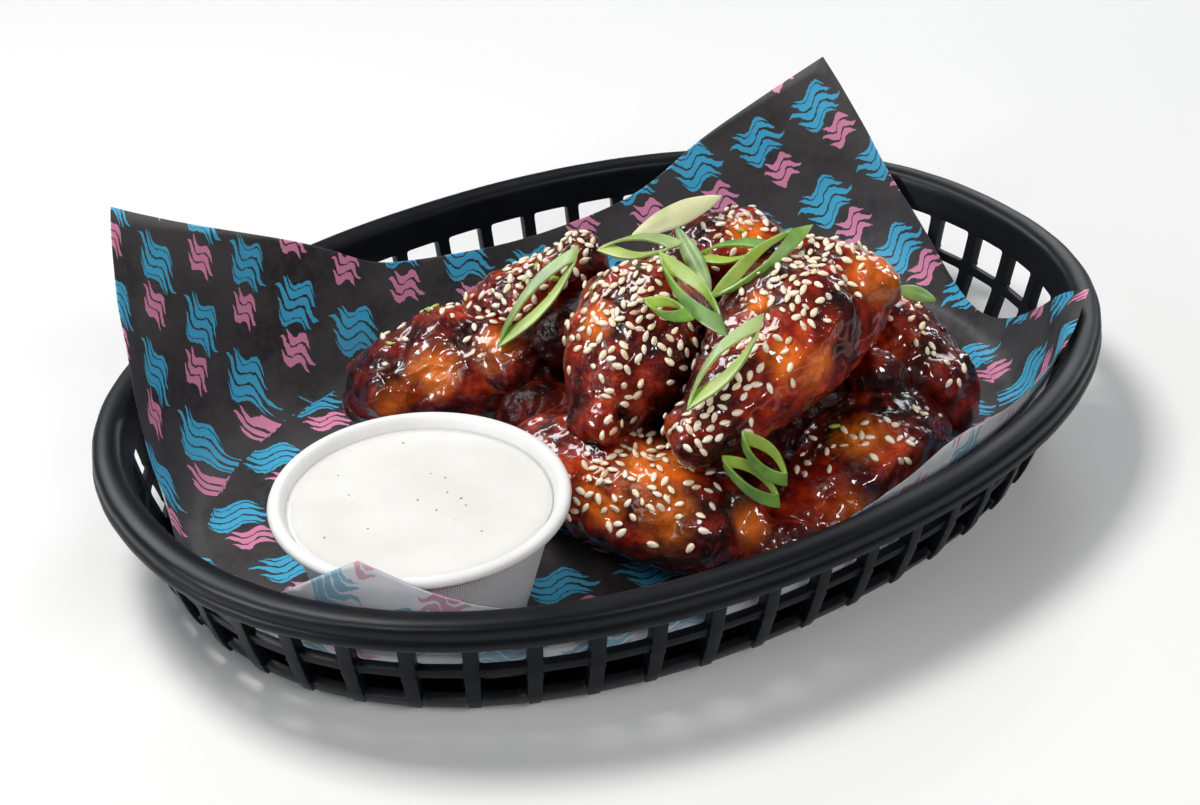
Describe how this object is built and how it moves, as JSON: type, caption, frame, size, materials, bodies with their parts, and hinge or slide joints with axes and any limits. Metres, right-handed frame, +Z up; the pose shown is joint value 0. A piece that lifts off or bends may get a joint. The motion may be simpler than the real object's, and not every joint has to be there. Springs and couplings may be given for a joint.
{
  "type": "chicken wings serving",
  "caption": "Glazed chicken wings with sesame and spring onion on a paper liner in an oval lattice basket, with a fibre cup of white dip.",
  "frame": {"origin": "middle of the basket's underside, on the surface that it stands on", "axes": "+Z up, +X along the basket's length with the dip cup at -X, +Y from the near long side to the far one"},
  "size_m": [0.2662, 0.1972, 0.0757],
  "materials": {
    "black_plastic": "satin black moulded polypropylene",
    "printed_paper": "thin greaseproof paper, printed near black with small coloured motifs",
    "white_fibre": "white moulded fibre with a fine mesh texture",
    "ranch_dip": null,
    "glazed_skin": null,
    "spring_onion": null
  },
  "bodies": {
    "root": {"basket": "black_plastic", "basket_floor": "black_plastic", "paper_liner": "printed_paper", "paper_floor": "printed_paper", "dip_cup": "white_fibre", "ranch_dip": "ranch_dip", "wing_front": "glazed_skin", "wing_right": "glazed_skin", "wing_left": "glazed_skin", "wing_far_right": "glazed_skin", "wing_behind_left": "glazed_skin", "wing_back": "glazed_skin", "wing_middle": "glazed_skin", "wing_top": "glazed_skin", "onion_left": "spring_onion", "onion_pale": "spring_onion", "onion_far": "spring_onion", "onion_upright": "spring_onion", "onion_loop": "spring_onion", "onion_fork": "spring_onion", "onion_long": "spring_onion", "onion_flat": "spring_onion", "onion_low": "spring_onion", "onion_front_upper": "spring_onion", "onion_front_lower": "spring_onion", "onion_right": "spring_onion"}
  },
  "joints": []
}
